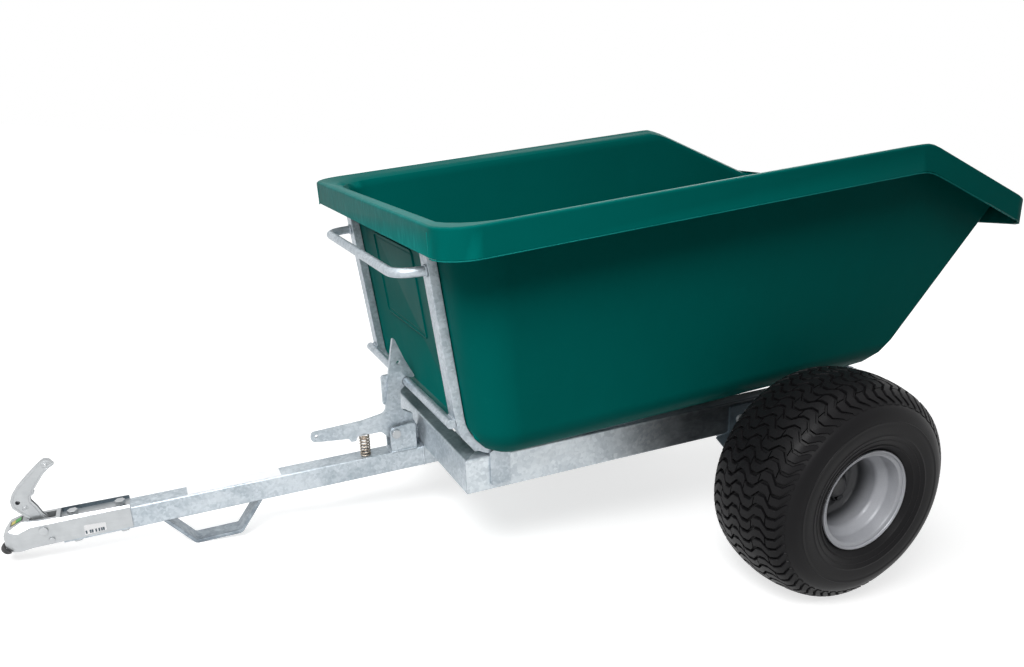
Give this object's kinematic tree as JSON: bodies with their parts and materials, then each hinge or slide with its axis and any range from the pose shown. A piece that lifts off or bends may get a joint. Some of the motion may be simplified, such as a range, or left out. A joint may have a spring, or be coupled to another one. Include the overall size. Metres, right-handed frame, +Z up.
{
  "type": "tipping trailer",
  "caption": "Small two-wheel tipping trailer: moulded tub on a galvanised frame, wide turf tyres, drawbar with ball coupling, hook latch.",
  "frame": {"origin": "middle of the trailer's box, on the ground that its two tyres and drawbar foot stand on", "axes": "+X from the hitch towards the pouring lip of the tub, +Y across to the right-hand wheel when facing the hitch from behind, +Z up"},
  "size_m": [2.1888, 1.332, 0.9809],
  "materials": {
    "galvanised_steel": "hot-dip galvanised steel with a fine spangle, dulled",
    "tub_green_plastic": "moulded polyethylene in deep green, faintly grained, semi-gloss",
    "tyre_rubber": "black tyre rubber with a zigzag turf tread",
    "rim_silver_paint": "silver painted pressed steel",
    "zinc_plated_steel": "bright zinc plated steel",
    "black_plastic": "black moulded plastic and rubber",
    "spring_steel": "bare spring steel wire",
    "indicator_plastic": "green plastic"
  },
  "bodies": {
    "chassis": {"drawbar": "galvanised_steel", "drawbar_foot": "galvanised_steel", "chassis_front_member": "galvanised_steel", "chassis_rear_member": "galvanised_steel", "axle_beam": "galvanised_steel", "chassis_rail_left": "galvanised_steel", "guide_lug_left": "galvanised_steel", "pivot_ear_left": "galvanised_steel", "pivot_bolt_left": "zinc_plated_steel", "axle_bracket_left": "galvanised_steel", "chassis_rail_right": "galvanised_steel", "guide_lug_right": "galvanised_steel", "pivot_ear_right": "galvanised_steel", "pivot_bolt_right": "zinc_plated_steel", "axle_bracket_right": "galvanised_steel", "latch_bracket": "galvanised_steel", "latch_pin": "zinc_plated_steel", "latch_spring": "spring_steel", "latch_spring_guide": "zinc_plated_steel", "coupling_body": "zinc_plated_steel", "coupling_bumper": "black_plastic", "coupling_indicator": "indicator_plastic", "coupling_handle_pin": "zinc_plated_steel", "coupling_jaw_pin": "zinc_plated_steel", "coupling_bolt_front": "zinc_plated_steel", "coupling_bolt_rear": "zinc_plated_steel", "stub_axle_left": "zinc_plated_steel", "axle_nut_left": "zinc_plated_steel", "stub_axle_right": "zinc_plated_steel", "axle_nut_right": "zinc_plated_steel"},
    "tub": {"tub": "tub_green_plastic", "cradle_cross_bar": "galvanised_steel", "cradle_push_handle": "galvanised_steel", "cradle_bar_left": "galvanised_steel", "tipping_lug_left": "galvanised_steel", "cradle_bar_right": "galvanised_steel", "tipping_lug_right": "galvanised_steel"},
    "wheel_left": {"bearing_inner_left": "zinc_plated_steel", "bearing_outer_left": "zinc_plated_steel", "hub_left": "galvanised_steel", "hub_cap_left": "black_plastic", "wheel_rim_left": "rim_silver_paint", "tyre_left": "tyre_rubber", "valve_stem_left": "black_plastic"},
    "wheel_right": {"bearing_inner_right": "zinc_plated_steel", "bearing_outer_right": "zinc_plated_steel", "hub_right": "galvanised_steel", "hub_cap_right": "black_plastic", "wheel_rim_right": "rim_silver_paint", "tyre_right": "tyre_rubber", "valve_stem_right": "black_plastic"},
    "latch": {"latch_lever": "galvanised_steel"},
    "handle": {"coupling_handle": "zinc_plated_steel"},
    "jaw": {"coupling_jaw": "zinc_plated_steel"}
  },
  "joints": [
    {"name": "tub_tip", "type": "hinge", "parent": "chassis", "child": "tub", "pos_m": [0.86091, 0, 0.41908], "axis": [0, 1, 0], "range_deg": [0, 75]},
    {"name": "wheel_spin_left", "type": "hinge", "parent": "chassis", "child": "wheel_left", "pos_m": [0.57961, 0, 0.254], "axis": [0, 1, 0], "continuous": true},
    {"name": "wheel_spin_right", "type": "hinge", "parent": "chassis", "child": "wheel_right", "pos_m": [0.57961, 0, 0.254], "axis": [0, 1, 0], "continuous": true},
    {"name": "latch_press", "type": "hinge", "parent": "chassis", "child": "latch", "pos_m": [-0.24987, 0, 0.2284], "axis": [0, 1, 0], "range_deg": [-16, 0], "stiffness_Nm_per_rad": 20, "springref_deg": 8.59, "deforming": ["latch_spring"]},
    {"name": "coupling_handle_lift", "type": "hinge", "parent": "chassis", "child": "handle", "pos_m": [-1.01048, 0, 0.07451], "axis": [0, 1, 0], "range_deg": [0, 40], "stiffness_Nm_per_rad": 4, "springref_deg": -20.05},
    {"name": "coupling_jaw_swing", "type": "hinge", "parent": "chassis", "child": "jaw", "pos_m": [-0.99552, 0, 0.05223], "axis": [0, 1, 0], "range_deg": [-15, 0]}
  ],
  "couplings": [
    {"joint": "coupling_jaw_swing", "follows": "coupling_handle_lift", "ratio": -0.3}
  ]
}
